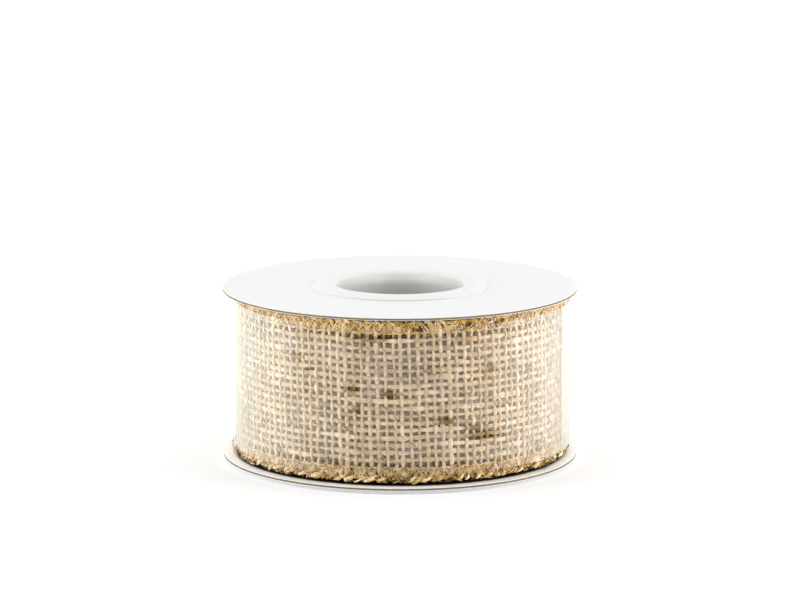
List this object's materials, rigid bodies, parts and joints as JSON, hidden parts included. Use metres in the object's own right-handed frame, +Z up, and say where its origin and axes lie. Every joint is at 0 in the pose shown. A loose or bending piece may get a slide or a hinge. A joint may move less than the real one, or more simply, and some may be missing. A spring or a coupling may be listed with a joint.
{
  "type": "ribbon spool",
  "caption": "Wide open-weave hessian ribbon with wired stitched edges, wound on a white-faced board spool and wrapped in clear film that peels open to free the ribbon's end.",
  "frame": {"origin": "centre of the face that the spool stands on, under the turned rim of the core liner", "axes": "+Z up along the spool's axis; +X to the right and +Y away from a viewer who faces the ribbon, whose loose end lies at the right"},
  "size_m": [0.1, 0.1, 0.05],
  "materials": {
    "white_facing": "white coated paper facing",
    "grey_board": "die-cut grey board edge",
    "core_board": "spiral-wound grey board",
    "liner_paper": "white liner paper",
    "tape": "paper tape",
    "jute_yarn": "open plain-weave hessian of spun jute",
    "jute_binding": "overlocked jute edge stitching",
    "edge_wire": "thin bright wire",
    "clear_film": "clear wrinkled film"
  },
  "bodies": {
    "spool": {"upper_flange_board": "grey_board", "upper_flange_outer_facing": "white_facing", "upper_flange_inner_facing": "white_facing", "lower_flange_board": "grey_board", "lower_flange_outer_facing": "white_facing", "lower_flange_inner_facing": "white_facing", "core_tube": "core_board", "core_liner": "liner_paper", "core_start_tape": "tape", "jute_web_roll": "jute_yarn", "upper_edge_binding_roll": "jute_binding", "lower_edge_binding_roll": "jute_binding", "upper_edge_wire_roll": "edge_wire", "lower_edge_wire_roll": "edge_wire", "film_band": "clear_film"},
    "ribbon_tail": {"jute_web_tail": "jute_yarn", "upper_edge_binding_tail": "jute_binding", "lower_edge_binding_tail": "jute_binding", "upper_edge_wire_tail": "edge_wire", "lower_edge_wire_tail": "edge_wire"},
    "film_end": {"film_flap": "clear_film"}
  },
  "joints": [
    {"name": "film_peel", "type": "hinge", "parent": "spool", "child": "film_end", "pos_m": [0.03106, 0.03646, 0.025], "axis": [0, 0, 1], "range_deg": [0, 110]},
    {"name": "ribbon_end_lift", "type": "hinge", "parent": "spool", "child": "ribbon_tail", "pos_m": [0.03191, 0.03492, 0.025], "axis": [0, 0, 1], "range_deg": [0, 55]}
  ],
  "couplings": [
    {"joint": "ribbon_end_lift", "follows": "film_peel", "ratio": 0.5}
  ]
}
